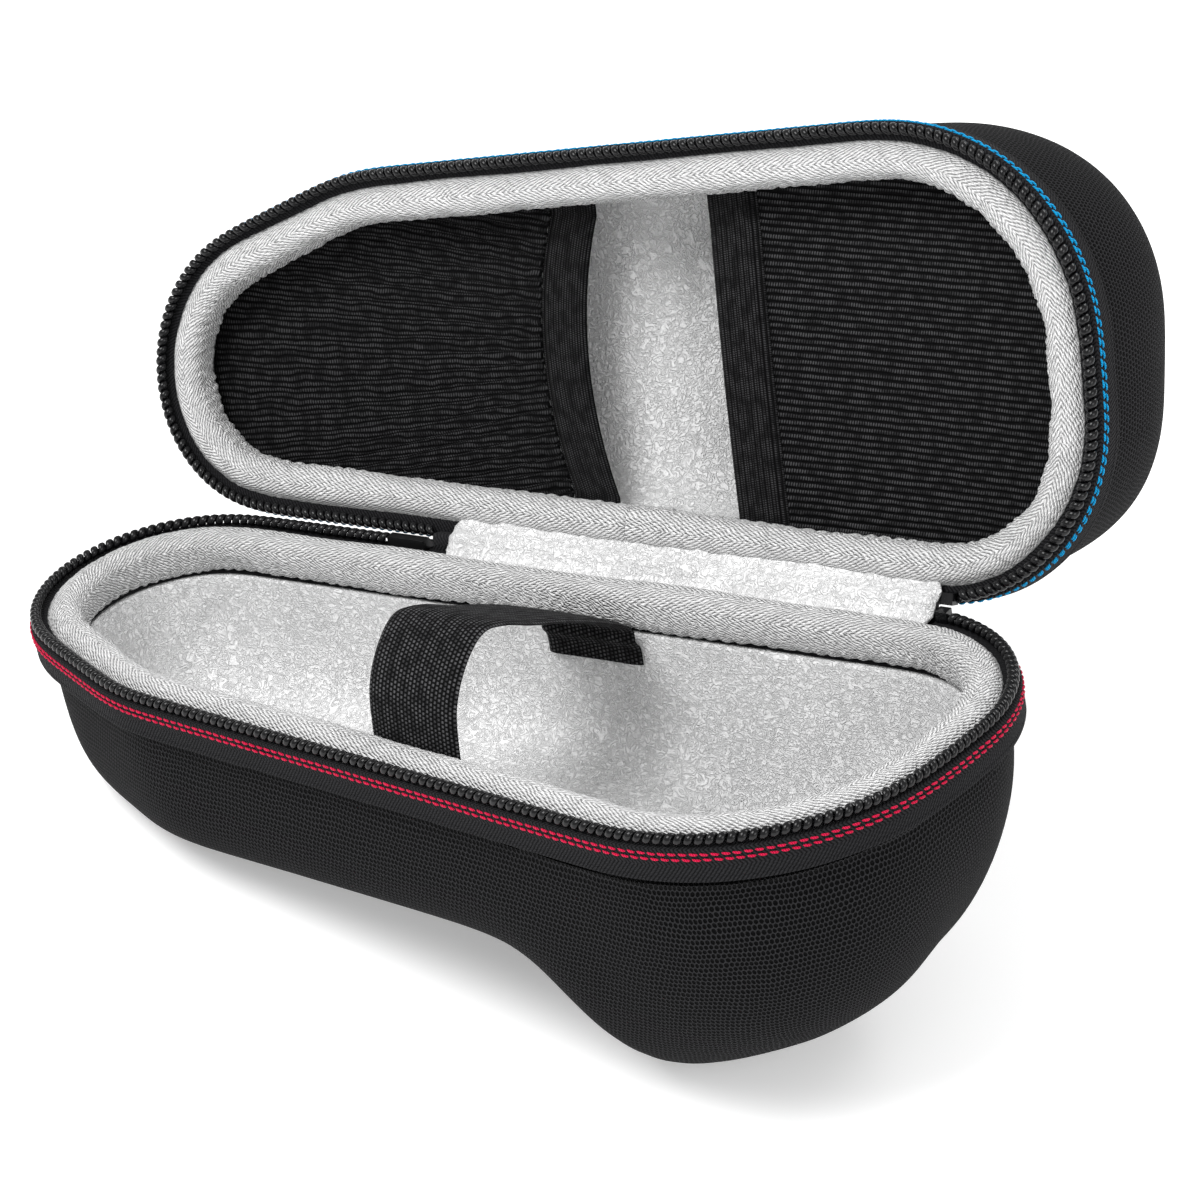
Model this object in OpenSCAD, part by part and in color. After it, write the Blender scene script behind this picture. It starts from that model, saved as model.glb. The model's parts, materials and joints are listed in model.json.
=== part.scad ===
// Zipped hard case for an electric shaver, shown with its lid open.
// Each half is a moulded foam shell with a fabric cover, a soft lining, a zip and a padded rim binding.

/* [Case outline] */
// Radius of the rounded narrow end, mm
narrow_tip_radius = 30; // [26:0.5:34]
// Length position of the narrow end's centre, mm
narrow_tip_x = -80; // [-90:1:-74]
// Radius that sets the width of the narrow half, mm
narrow_body_radius = 36; // [33:0.5:39]
// Length position of the narrow half's widest place, mm
narrow_body_x = -54; // [-60:1:-48]
// Radius that sets the width of the wide half, mm
wide_body_radius = 44.5; // [42:0.5:47]
// Length position of the wide half's widest place, mm
wide_body_x = 63.5; // [58:0.5:68]
// Radius of the rounded wide end's back corner, mm
wide_tip_radius = 32.7; // [30:0.1:35]
// Length position of the wide end's back corner centre, mm
wide_tip_x = 77.3; // [75:0.1:84]

/* [Base shell] */
// Depth of the base below the parting plane along the handle, mm
base_narrow_depth = 43.6; // [38:0.2:50]
// Depth of the base below the parting plane at the head pocket, mm
base_wide_depth = 74.65; // [64:0.05:80]
// Fall of the head pocket's floor per mm of length
base_floor_slope = 0.45; // [0.2:0.05:0.6]
// Length position where the handle floor drops to the head pocket, mm
base_drop_x = 38; // [32:0.5:44]
// Length over which the floor drops, mm
base_drop_run = 5; // [4:0.25:8]
// How far the base shell sits inside the zip line, mm
base_shell_inset = 2.4; // [2:0.1:3.4]

/* [Lid shell] */
// Depth of the lid over the handle, mm
lid_narrow_depth = 30; // [26:0.2:36]
// Depth of the lid's hump over the head, mm
lid_wide_depth = 54.3; // [44:0.1:58]
// Length position where the hump rises, mm
lid_rise_x = 20; // [14:0.5:28]
// Length over which the hump rises, mm
lid_rise_run = 10; // [7:0.5:14]
// How far the lid shell sits inside the zip line, mm
lid_shell_inset = 1.6; // [1.4:0.1:2.8]
// Lean of the hump towards the front, mm
lid_lean = 6; // [0:0.5:9]

/* [Layers] */
// Thickness of the woven outer cover, mm
cover_thickness = 0.8; // [0.8:0.1:1.2]
// Thickness of the base's moulded foam, mm
base_foam_thickness = 5; // [4.4:0.2:5.4]
// Thickness of the lid's moulded foam, mm
lid_foam_thickness = 3; // [2.4:0.2:3.6]
// Thickness of the soft lining, mm
lining_thickness = 1.2; // [1:0.1:1.8]

/* [Rim] */
// Height of the straight zip band on each half, mm
band_height = 9.6; // [8.6:0.2:11]
// Distance of the band's outer face outside the zip line, mm
band_face = 0.5; // [0.3:0.1:0.7]
// Width of the tape that lies over the rim's top, mm
tape_top_width = 5.3; // [4.4:0.1:5.6]
// Thickness of the tape over the rim's top, mm
tape_thickness = 0.4; // [0.3:0.05:0.6]
// Radius of the zip coil, mm
coil_radius = 1.2; // [1:0.05:1.25]
// Gap between each coil and the parting plane, mm
coil_gap = 0.25; // [0.2:0.05:0.4]
// Width of the padded rim binding, mm
binding_width = 5.5; // [4.6:0.1:6.4]
// Top of the first stitch row below the parting plane, mm
stitch_depth = 3.3; // [3.2:0.1:4.4]
// Distance between the two stitch rows, mm
stitch_spacing = 1.1; // [0.9:0.1:1.5]
// Thickness of the stitching thread, mm
thread_size = 0.45; // [0.3:0.05:0.6]

/* [Hinge] */
// Angle of the lid from closed, degrees
lid_open_angle = 113.7; // [100:0.1:125]
// Left end of the fabric hinge, mm
hinge_start_x = -32; // [-40:1:-26]
// Right end of the fabric hinge, mm
hinge_end_x = 80; // [70:1:82]
// Thickness of the hinge's outer fabric, mm
hinge_fabric_thickness = 0.8; // [0.6:0.05:0.8]

/* [Strap] */
// Left edge of the elastic strap, mm
strap_x = -4.5; // [-5.5:0.5:-4.5]
// Width of the elastic strap, mm
strap_width = 22; // [18:0.5:22]
// Thickness of the elastic strap, mm
strap_thickness = 1.2; // [0.8:0.1:1.6]
// Height of the strap's crown above the parting plane, mm
strap_rise = 16; // [12:0.5:17]

/* [Pockets] */
// Depth of the pockets below the lid's parting plane, mm
pocket_depth = 11.6; // [11.2:0.1:14]
// Thickness of the pocket fabric, mm
pocket_thickness = 1.2; // [0.8:0.1:1.6]
// Thickness of the elastic bands, mm
pocket_band_thickness = 2; // [1.6:0.1:2.6]
// Length position of the narrow pocket band's free edge at the front, mm
narrow_band_front_x = -9.4; // [-14:0.2:-8]
// Length position of the narrow pocket band's free edge at the back, mm
narrow_band_back_x = 0; // [-4:0.5:4]
// Bow of the narrow pocket band's free edge, mm
narrow_band_bow = -5; // [-7:0.5:-2]
// Length position of the wide pocket band's free edge at the front, mm
wide_band_front_x = 18.4; // [18.4:0.2:24]
// Length position of the wide pocket band's free edge at the back, mm
wide_band_back_x = 29; // [26:0.5:34]
// Bow of the wide pocket band's free edge, mm
wide_band_bow = -0.6; // [-1:0.1:1]
// Width of the narrow pocket's band, mm
narrow_band_width = 10.6; // [9:0.2:13]
// Width of the wide pocket's band, mm
wide_band_width = 10.8; // [9:0.2:12]

/* [Zip slider] */
// Left end of the zip slider, mm
slider_x = -46; // [-60:1:-46]
// Length of the zip slider, mm
slider_length = 9; // [8:0.5:11]
// Length of the hanging pull below its pivot, mm
pull_length = 22; // [16:1:30]
// Width of the pull, mm
pull_width = 5; // [4:0.5:6]
// Radius of the crown's bar that carries the pull, mm
crown_bar_radius = 0.75; // [0.6:0.05:0.9]

/* [Output] */
// Piece to draw

/* [Hidden] */

// Colours
black_fabric = [0.05, 0.05, 0.055];
black_zip = [0.02, 0.02, 0.02];
foam_grey = [0.25, 0.25, 0.27];
pale_plush = [0.86, 0.86, 0.86];
red_thread = [0.75, 0.05, 0.18];
blue_thread = [0.05, 0.55, 0.85];
metal_grey = [0.3, 0.3, 0.32];

// Clearances and seams
skin_gap = 0.1;
seam_gap = 0.2;
flange_inset = 0.9;
tape_leg_top = 2.7;
rest_cut = 0.5;
end_gap = 1;
coil_sides = 8;
fine = 32;

// Rim heights and offsets, taken downwards and inwards from the zip line
coil_inset = 0.9;
coil_z = coil_gap + coil_radius;
flange_top = tape_leg_top + tape_thickness;
flange_inner = tape_top_width - band_face;
binding_outer = flange_inner + seam_gap;
binding_inner = binding_outer + binding_width;
binding_top = 0.4;
binding_bottom = band_height + 0.4;
ledge = binding_bottom + seam_gap;

// Outline: four circles that all touch the straight back line
step_angle = 11;
long_step = 10;
wide_tip = [wide_tip_x, -wide_tip_radius, wide_tip_radius];
wide_body = [wide_body_x, -wide_body_radius, wide_body_radius];
narrow_body = [narrow_body_x, -narrow_body_radius, narrow_body_radius];
narrow_tip = [narrow_tip_x, -narrow_tip_radius, narrow_tip_radius];

function tangent_angle(p, q) =
  let (d = [q[0] - p[0], q[1] - p[1]])
  atan2(d[1], d[0]) - acos((p[2] - q[2]) / norm(d));
function on_front(a) = a < 180 ? a + 360 : a;
tip_leave = on_front(tangent_angle(narrow_tip, narrow_body));
body_leave = on_front(tangent_angle(narrow_body, wide_body));
wide_leave = on_front(tangent_angle(wide_body, wide_tip));

// A column is a point of the zip line with its outward direction
function column(c, a) = [c[0] + c[2] * cos(a), c[1] + c[2] * sin(a), cos(a), sin(a)];
function arc_columns(c, a0, a1) =
  let (n = max(1, round((a1 - a0) / step_angle)))
  [for (i = [1:n]) column(c, a0 + (a1 - a0) * i / n)];
// Stations along the straight stretches, close together where the floor drops
drop_steps = [3.06, 2.12, 1.2, 0.28, -0.64, -1.6];
drop_stations = [for (q = drop_steps) base_drop_x + q * base_drop_run];
function spread(x0, x1) =
  let (n = max(1, round(abs(x1 - x0) / long_step)))
  [for (i = [1:n]) x0 + (x1 - x0) * i / n];
function stations(right, left) =
  let (last = len(drop_stations) - 1)
  concat(
    [for (x = spread(right, drop_stations[0])) if (x > drop_stations[0] + 1) x],
    [for (x = drop_stations) if (x < right - 1) x],
    spread(drop_stations[last], left)
  );
function at_station(p, q, x) = p + (q - p) * (x - p[0]) / (q[0] - p[0]);
function straight_columns(p, q, xs) = [for (x = xs) at_station(p, q, x)];
back_right = column(wide_tip, 90);
back_left = column(narrow_tip, 90);
front_left = column(narrow_body, body_leave);
front_right = column(wide_body, body_leave);
front_stations = [for (x = stations(front_right[0], front_left[0])) if (x > front_left[0] + 1) x];
columns = concat(
  arc_columns(wide_tip, wide_leave - 360, 90),
  straight_columns(back_right, back_left, stations(back_right[0], back_left[0])),
  arc_columns(narrow_tip, 90, tip_leave),
  [column(narrow_body, tip_leave)],
  arc_columns(narrow_body, tip_leave, body_leave),
  reversed([for (c = straight_columns(front_right, front_left, front_stations)) c]),
  [front_right],
  arc_columns(wide_body, body_leave, wide_leave),
  [column(wide_tip, wide_leave)]
);
count = len(columns);
function line_point(c, inset) = [c[0] - inset * c[2], c[1] - inset * c[3]];
function rim_ring(inset) = [for (c = columns) line_point(c, inset)];

// Roundness of each half, as powers: a high power is squarer.
// Side walls and floor along the narrow half, the same along the wide half, then the two ends.
base_round = [5.8, 3.95, 3.5, 2.26, 2.06, 3.8];
lid_round = [4, 2.5, 5.7, 3.6, 2.9, 4];
// The floor falls away towards the wide end: rate, and where that starts
base_end_fall = 1.5;
base_fall_x = wide_tip_x + 10.2;
lid_end_fall = 0.56;
lid_fall_x = wide_tip_x + 2.7;

// Shell form: one list of named values per half
// [narrow depth, wide depth, slope, end fall, fall start, step x, step run, inset, lean,
//  side and floor roundness narrow, side and floor roundness wide, wide end, narrow end]
base_form = concat(
  [base_narrow_depth, base_wide_depth, base_floor_slope, base_end_fall, base_fall_x],
  [base_drop_x, base_drop_run, base_shell_inset, 0],
  base_round
);
lid_form = concat(
  [lid_narrow_depth, lid_wide_depth, 0, lid_end_fall, lid_fall_x],
  [lid_rise_x, lid_rise_run, lid_shell_inset, lid_lean],
  lid_round
);
slope_datum = 50;
spine_left = narrow_tip_x + 8;
function blend(x, f) = 1 / (1 + exp(-(x - f[5]) / f[6]));
function mix(a, b, t) = a + (b - a) * t;
function depth_at(x, f) =
  let (t = blend(x, f), past = max(x - f[4], 0))
  mix(f[0], f[1] - f[2] * (x - slope_datum) - f[3] * past * past / 100, t);

// Point of a shell skin: a is 0 at the wall's top and 90 on the spine
function skin_point(c, f, inset, top, a) =
  let (
    b = line_point(c, f[7] + inset),
    sx = min(max(b[0], spine_left), wide_tip_x),
    sy = mix(-narrow_tip_radius, -wide_tip_radius, (sx - spine_left) / (wide_tip_x - spine_left)),
    dx = b[0] - sx,
    ux = dx / norm([dx, b[1] - sy]),
    t = blend(b[0], f),
    side = mix(f[9], f[11], t),
    end = ux > 0 ? f[13] : f[14],
    n = mix(side, end, ux * ux),
    m = mix(f[10], f[12], t),
    s = pow(cos(a), 2 / n),
    h = pow(sin(a), 2 / m),
    x = sx + dx * s,
    z = top + (depth_at(x, f) - inset - top) * h,
    lean = f[8] * (z - top) / (max(f[0], f[1]) - top)
  )
  [x, sy + (b[1] - sy) * s - lean, -z];
row_angles = [0, 18, 36, 52, 66, 76, 83];
function skin_rings(f, inset, top) =
  [for (a = row_angles) [for (c = columns) skin_point(c, f, inset, top, a)]];
function level_ring(inset, depth) = [for (c = columns) concat(line_point(c, inset), -depth)];
function reversed(v) = [for (i = [len(v) - 1:-1:0]) v[i]];

// Closed cup from rings that run up the outside and down the inside.
// Both skins split their quads along the same diagonals, so that layers meet face to face.
skin_count = len(row_angles);
module cup(rings) {
  n = count;
  last = (len(rings) - 1) * n;
  sides = [
    for (j = [0:len(rings) - 2], i = [0:n - 1])
    let (a = j * n + i, b = j * n + (i + 1) % n)
    each j < skin_count ? [[a, a + n, b], [b, a + n, b + n]] : [[a, a + n, b + n], [a, b + n, b]]
  ];
  half = floor(n / 2);
  odd = n % 2 == 1 ? [[half - 1, half, half + 1]] : [];
  pairs = [
    for (i = [0:half - 2])
    each [[i, i + 1, n - 1 - i], [i + 1, n - 2 - i, n - 1 - i]]
  ];
  floor_out = concat(pairs, odd);
  floor_in = [for (t = floor_out) [t[2] + last, t[1] + last, t[0] + last]];
  polyhedron(points = [for (r = rings) each r], faces = concat(sides, floor_out, floor_in));
}

// Rest attitude: the underside's two lowest places stand on one level plane
underside = [for (r = skin_rings(base_form, 0, band_height)) each r];
function height(p, a) = p[0] * sin(a) + p[2] * cos(a);
function lowest(points, a) =
  let (h = [for (p = points) height(p, a)], m = min(h))
  [for (i = [0:len(points) - 1]) if (h[i] == m) points[i]][0];
narrow_side = [for (p = underside) if (p[0] < 0) p];
wide_side = [for (p = underside) if (p[0] > base_drop_x / 2) p];
function tilt_from(a) =
  let (p = lowest(narrow_side, a), q = lowest(wide_side, a))
  atan2(p[2] - q[2], q[0] - p[0]);
first_tilt = 11;
rest_tilt = tilt_from(tilt_from(tilt_from(tilt_from(first_tilt))));
wide_foot = lowest(wide_side, rest_tilt);
foot_height = height(wide_foot, rest_tilt);

module tilted() {
  rotate([0, -rest_tilt, 0])
    children();
}

// Places the case so that the head pocket's foot stands on the origin
module row_frame() {
  foot_x = wide_foot[0] * cos(rest_tilt) - wide_foot[2] * sin(rest_tilt);
  translate([-foot_x, -wide_foot[1], -foot_height - rest_cut])
    tilted()
      children();
}

// The lid's pieces are drawn below the parting plane, then mirrored and opened
module lid_frame() {
  row_frame()
    rotate([-lid_open_angle, 0, 0])
      mirror([0, 0, 1])
        children();
}

module ring_solid(outer, inner, top, bottom) {
  translate([0, 0, -bottom])
    linear_extrude(bottom - top)
      difference() {
        polygon(rim_ring(outer));
        polygon(rim_ring(inner));
      }
}

module hinge_zone(start, end) {
  reach = 6;
  translate([start, -reach, -band_height - reach])
    cube([end - start, 2 * reach, band_height + 2 * reach]);
}

module cover(f) {
  cup(concat(
    reversed(skin_rings(f, 0, band_height)),
    skin_rings(f, cover_thickness, band_height)
  ));
}

module foam(f, thickness) {
  cup(concat(
    reversed(skin_rings(f, cover_thickness, band_height)),
    [level_ring(flange_inset, band_height), level_ring(flange_inset, flange_top)],
    [level_ring(flange_inner, flange_top), level_ring(flange_inner, ledge)],
    skin_rings(f, cover_thickness + thickness, ledge)
  ));
}

module lining(f, thickness) {
  cup(concat(
    reversed(skin_rings(f, cover_thickness + thickness, ledge)),
    skin_rings(f, cover_thickness + thickness + lining_thickness, ledge)
  ));
}

module zip_tape() {
  difference() {
    union() {
      ring_solid(-band_face, flange_inset, tape_leg_top, band_height);
      ring_solid(-band_face, flange_inner, tape_leg_top, flange_top);
    }
    hinge_zone(hinge_start_x, hinge_end_x);
  }
}

module stitching() {
  difference() {
    for (z = [stitch_depth, stitch_depth + stitch_spacing])
      ring_solid(-band_face - thread_size / 2, -band_face, z, z + thread_size);
    hinge_zone(hinge_start_x - end_gap, hinge_end_x + end_gap);
  }
}

module binding() {
  ring_solid(binding_outer, binding_inner, binding_top, binding_bottom);
}

// Zip coil as a round tube along the zip line, open across the hinge
module zip_coil(start) {
  path = [for (c = columns) line_point(c, coil_inset)];
  rings = [
    for (k = [0:coil_sides - 1])
    let (a = (k + 0.5) * 360 / coil_sides)
    [
      for (c = columns)
      concat(line_point(c, coil_inset + coil_radius * cos(a)), -coil_z + coil_radius * sin(a))
    ]
  ];
  n = count;
  faces = [
    for (k = [0:coil_sides - 1], i = [0:n - 1])
    let (
      a = k * n + i,
      b = k * n + (i + 1) % n,
      c = ((k + 1) % coil_sides) * n + i,
      d = ((k + 1) % coil_sides) * n + (i + 1) % n
    )
    each [[a, b, d], [a, d, c]]
  ];
  difference() {
    polyhedron(points = [for (r = rings) each r], faces = faces);
    hinge_zone(start, coil_end_x);
  }
}
stop_length = 2.4;
stop_size = 2 * coil_radius - 0.1;
coil_end_x = hinge_end_x + stop_length + 3 * seam_gap;
lid_coil_start_x = hinge_start_x - 5;

// Moulded stop on the end of the coil beside the hinge
module zip_stop() {
  middle_x = coil_end_x - seam_gap - stop_length / 2;
  end = line_point(column(wide_tip, acos((middle_x - wide_tip_x) / wide_tip_radius)), coil_inset);
  translate([middle_x - stop_length / 2, end[1] - stop_size / 2, -coil_z - stop_size / 2])
    cube([stop_length, stop_size, stop_size]);
}

// Strap: an arch between the front and back binding
strap_path = [
  [0, -17], [0, -12.6], [0.02, -10.7], [0.02, -1], [0.05, 0.42 * strap_rise],
  [0.13, 0.8 * strap_rise], [0.24, strap_rise], [0.36, 0.87 * strap_rise],
  [0.5, 0.58 * strap_rise], [0.7, 0.2 * strap_rise], [0.87, -3], [0.972, -7.5],
  [0.98, -10.7], [1, -12.6], [1, -17]
];
strap_wall = base_shell_inset + cover_thickness + base_foam_thickness + lining_thickness + skin_gap;
front_slope = (front_right[1] - front_left[1]) / (front_right[0] - front_left[0]);
function front_y(x, inset) =
  front_left[1] + front_slope * (x - front_left[0]) + inset * sqrt(1 + front_slope * front_slope);
function strap_line(x, side) =
  let (
    y0 = front_y(x, strap_wall + seam_gap + strap_thickness / 2),
    y1 = -strap_wall - seam_gap - strap_thickness / 2,
    p = [for (q = strap_path) [mix(y0, y1, q[0]), q[1]]],
    n = len(p)
  )
  [
    for (i = [0:n - 1])
    let (
      d = p[min(i + 1, n - 1)] - p[max(i - 1, 0)],
      u = [-d[1], d[0]] / norm(d),
      q = p[i] + u * side * strap_thickness / 2
    )
    [x, q[0], q[1]]
  ];

module strap() {
  lines = [
    strap_line(strap_x, 1), strap_line(strap_x, -1),
    strap_line(strap_x + strap_width, -1), strap_line(strap_x + strap_width, 1)
  ];
  n = len(strap_path);
  sides = [
    for (k = [0:3], i = [0:n - 2])
    let (a = k * n + i, b = ((k + 1) % 4) * n + i)
    each [[a, a + 1, b + 1], [a, b + 1, b]]
  ];
  ends = [
    [0, n, 2 * n], [0, 2 * n, 3 * n],
    [4 * n - 1, 3 * n - 1, 2 * n - 1], [4 * n - 1, 2 * n - 1, n - 1]
  ];
  polyhedron(points = [for (l = lines) each l], faces = concat(sides, ends));
}

// Pockets in the lid: fabric panels up to a slanted elastic band
pocket_inset = lid_shell_inset + cover_thickness + lid_foam_thickness + lining_thickness + 0.7;
pocket_front_y = -66;
pocket_back_y = -11;
pocket_reach = 40;
pocket_far = wide_tip_x - narrow_tip_x;
bow_steps = 10;
// Edge of a band: straight from front to back, bowed between them
function band_edge(front, back, bow, shift) =
  [
    for (i = [-1:bow_steps + 1])
    let (
      u = i / bow_steps,
      v = min(max(u, 0), 1),
      far = i < 0 ? -pocket_reach : i > bow_steps ? pocket_reach : 0
    )
    [
      mix(front, back, v) + bow * 4 * v * (1 - v) + shift,
      mix(pocket_front_y, pocket_back_y, v) + far
    ]
  ];

module pocket_sheet(front, back, bow, left, right, thickness) {
  translate([0, 0, -pocket_depth - thickness])
    linear_extrude(thickness)
      intersection() {
        polygon(rim_ring(pocket_inset));
        polygon(concat(
          reversed(band_edge(front, back, bow, left)),
          band_edge(front, back, bow, right)
        ));
      }
}

// Hinge fabric sections in the plane across the hinge line, at the open rest pose
function opened(p) =
  let (c = cos(lid_open_angle), s = sin(lid_open_angle))
  [p[0] * c + p[1] * s, -p[0] * s + p[1] * c];
function turn(r, a0, a1, n) = [for (i = [0:n]) let (a = a0 + (a1 - a0) * i / n) r * [cos(a), sin(a)]];
lid_side_angle = 180 - lid_open_angle;

module hinge_sheet(section, start, end) {
  translate([start, 0, 0])
    rotate([90, 0, 90])
      linear_extrude(end - start)
        polygon(section);
}

// Zip slider: hooks over the tape's edge and carries the pull on a crown bar
slider_face = 2.4;
slider_bottom = band_height - 0.4;
slider_section = [
  [-2.5, -2.6], [-2.5, -0.2], [-0.4, -0.2], [0.2, -1.5], [1.4, -1.7], [1.4, -3.2],
  [slider_face, -3.6], [slider_face, -slider_bottom], [0.6, -slider_bottom], [0.6, -2.6]
];
pull_eye_radius = crown_bar_radius + 0.3;
pull_ring_radius = pull_eye_radius + 0.9;
pull_thickness = 1.2;
pull_eye_width = 3;
pull_neck = 5;
pull_shoulder = 4;
crown_y = slider_face + pull_ring_radius + seam_gap;
crown_z = -7.5;
crown_foot = 1;

module slider_body() {
  x0 = slider_x;
  translate([x0, 0, 0])
    rotate([90, 0, 90])
      linear_extrude(slider_length)
        polygon(slider_section);
  for (x = [x0, x0 + slider_length - crown_foot])
    translate([x, slider_face - seam_gap, crown_z - crown_bar_radius])
      cube([crown_foot, crown_y - slider_face + seam_gap, 2 * crown_bar_radius]);
  translate([x0, crown_y, crown_z])
    rotate([0, 90, 0])
      cylinder(r = crown_bar_radius, h = slider_length, $fn = fine);
}

module pull_body() {
  mid = slider_x + slider_length / 2;
  difference() {
    union() {
      translate([mid - pull_eye_width / 2, crown_y, crown_z])
        rotate([0, 90, 0])
          cylinder(r = pull_ring_radius, h = pull_eye_width, $fn = fine);
      translate([mid - pull_eye_width / 2, crown_y - pull_thickness / 2, crown_z - pull_neck])
        cube([pull_eye_width, pull_thickness, pull_neck]);
      translate([mid - pull_width / 2, crown_y - pull_thickness / 2, crown_z - pull_length])
        cube([pull_width, pull_thickness, pull_length - pull_shoulder]);
    }
    translate([slider_x, crown_y, crown_z])
      rotate([0, 90, 0])
        cylinder(r = pull_eye_radius, h = slider_length, $fn = fine);
  }
}

module base_outer_cover() {
  span = 4 * (wide_tip_x - narrow_tip_x);
  color(black_fabric)
    difference() {
      row_frame()
        cover(base_form);
      translate([-span / 2, -span / 2, -span])
        cube(span);
    }
}

module base_foam_shell() {
  color(foam_grey)
    row_frame()
      foam(base_form, base_foam_thickness);
}

module base_lining() {
  color(pale_plush)
    row_frame()
      lining(base_form, base_foam_thickness);
}

module base_zip_tape() {
  color(black_fabric)
    row_frame()
      zip_tape();
}

module base_zip_coil() {
  color(black_zip)
    row_frame()
      zip_coil(slider_x - end_gap);
}

module base_stitching() {
  color(red_thread)
    row_frame()
      difference() {
        stitching();
        hinge_zone(slider_x - end_gap, hinge_start_x);
      }
}

module base_binding() {
  color(pale_plush)
    row_frame()
      binding();
}

module base_zip_stop() {
  color(black_zip)
    row_frame()
      zip_stop();
}

module elastic_strap() {
  color(black_fabric)
    row_frame()
      strap();
}

module hinge_outer_fabric() {
  t = hinge_fabric_thickness;
  h = band_height;
  color(black_fabric)
    row_frame()
      hinge_sheet(
        concat(
          [[-t, -h], [0, -h], [0, 0], opened([0, h]), opened([-t, h])],
          turn(t, lid_side_angle, 180, 8)
        ),
        hinge_start_x, hinge_end_x
      );
}

module hinge_inner_lining() {
  inner = hinge_fabric_thickness + skin_gap;
  deep = flange_top - skin_gap;
  wide = flange_inner;
  high = 0.7;
  outer = 2.2;
  dip = asin(high / outer);
  color(pale_plush)
    row_frame()
      hinge_sheet(
        concat(
          [[-wide, -deep], [-inner, -deep]],
          turn(inner, 180, lid_side_angle, 8),
          [opened([-inner, deep]), opened([-wide, deep]), opened([-wide, high])],
          turn(outer, lid_side_angle - dip, 180 + dip, 8),
          [[-wide, -high]]
        ),
        hinge_start_x + skin_gap, hinge_end_x - skin_gap
      );
}

module zip_slider() {
  color(metal_grey)
    row_frame()
      slider_body();
}

module zip_pull() {
  color(metal_grey)
    row_frame()
      pull_body();
}

module lid_outer_cover() {
  color(black_fabric)
    lid_frame()
      cover(lid_form);
}

module lid_foam_shell() {
  color(foam_grey)
    lid_frame()
      foam(lid_form, lid_foam_thickness);
}

module lid_lining() {
  color(pale_plush)
    lid_frame()
      lining(lid_form, lid_foam_thickness);
}

module lid_zip_tape() {
  color(black_fabric)
    lid_frame()
      zip_tape();
}

module lid_zip_coil() {
  color(black_zip)
    lid_frame()
      zip_coil(lid_coil_start_x);
}

module lid_stitching() {
  color(blue_thread)
    lid_frame()
      stitching();
}

module lid_binding() {
  color(pale_plush)
    lid_frame()
      binding();
}

module lid_zip_stop() {
  color(black_zip)
    lid_frame()
      zip_stop();
}

module narrow_pocket_panel() {
  color(black_fabric)
    lid_frame()
      pocket_sheet(
        narrow_band_front_x, narrow_band_back_x, narrow_band_bow,
        -pocket_far, -narrow_band_width - skin_gap, pocket_thickness
      );
}

module narrow_pocket_band() {
  color(black_fabric)
    lid_frame()
      pocket_sheet(
        narrow_band_front_x, narrow_band_back_x, narrow_band_bow,
        -narrow_band_width, 0, pocket_band_thickness
      );
}

module wide_pocket_panel() {
  color(black_fabric)
    lid_frame()
      pocket_sheet(
        wide_band_front_x, wide_band_back_x, wide_band_bow,
        wide_band_width + skin_gap, pocket_far, pocket_thickness
      );
}

module wide_pocket_band() {
  color(black_fabric)
    lid_frame()
      pocket_sheet(
        wide_band_front_x, wide_band_back_x, wide_band_bow,
        0, wide_band_width, pocket_band_thickness
      );
}

base_outer_cover();
base_foam_shell();
base_lining();
base_zip_tape();
base_zip_coil();
base_stitching();
base_binding();
base_zip_stop();
elastic_strap();
hinge_outer_fabric();
hinge_inner_lining();
zip_slider();
zip_pull();
lid_outer_cover();
lid_foam_shell();
lid_lining();
lid_zip_tape();
lid_zip_coil();
lid_stitching();
lid_binding();
lid_zip_stop();
narrow_pocket_panel();
narrow_pocket_band();
wide_pocket_panel();
wide_pocket_band();
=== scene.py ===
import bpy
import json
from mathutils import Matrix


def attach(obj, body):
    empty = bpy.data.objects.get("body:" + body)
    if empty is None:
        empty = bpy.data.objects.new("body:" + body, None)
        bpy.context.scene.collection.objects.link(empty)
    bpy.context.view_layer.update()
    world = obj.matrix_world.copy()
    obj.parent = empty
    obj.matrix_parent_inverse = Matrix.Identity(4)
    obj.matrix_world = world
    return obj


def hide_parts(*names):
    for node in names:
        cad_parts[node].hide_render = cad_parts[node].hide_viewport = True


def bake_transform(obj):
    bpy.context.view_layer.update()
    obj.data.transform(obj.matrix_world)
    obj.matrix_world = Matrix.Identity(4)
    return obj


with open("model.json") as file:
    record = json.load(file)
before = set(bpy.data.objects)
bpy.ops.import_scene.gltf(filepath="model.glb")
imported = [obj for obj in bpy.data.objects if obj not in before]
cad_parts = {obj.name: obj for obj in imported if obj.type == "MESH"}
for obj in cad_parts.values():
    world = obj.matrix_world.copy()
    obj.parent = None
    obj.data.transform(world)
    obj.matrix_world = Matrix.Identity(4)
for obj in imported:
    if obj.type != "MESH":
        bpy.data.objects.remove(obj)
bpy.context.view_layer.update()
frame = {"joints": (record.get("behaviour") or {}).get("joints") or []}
import bpy
import bmesh
import json
import math
import numpy as np
from mathutils import Matrix, Vector

bpy.ops.object.select_all(action="DESELECT")
MM = 0.001

# Case frame
# The case frame has its origin on the hinge line, +X to the wide end and +Z out of the base.
hinge = next(j for j in frame["joints"] if j["name"] == "lid_hinge")
AX = -np.array(hinge["axis"], float)
TILT = math.atan2(AX[2], AX[0])
POS = np.array(hinge["pos_m"], float)
ROT = np.array([[math.cos(TILT), 0, -math.sin(TILT)], [0, 1, 0], [math.sin(TILT), 0, math.cos(TILT)]])
OPEN = math.radians(113.7)


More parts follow.
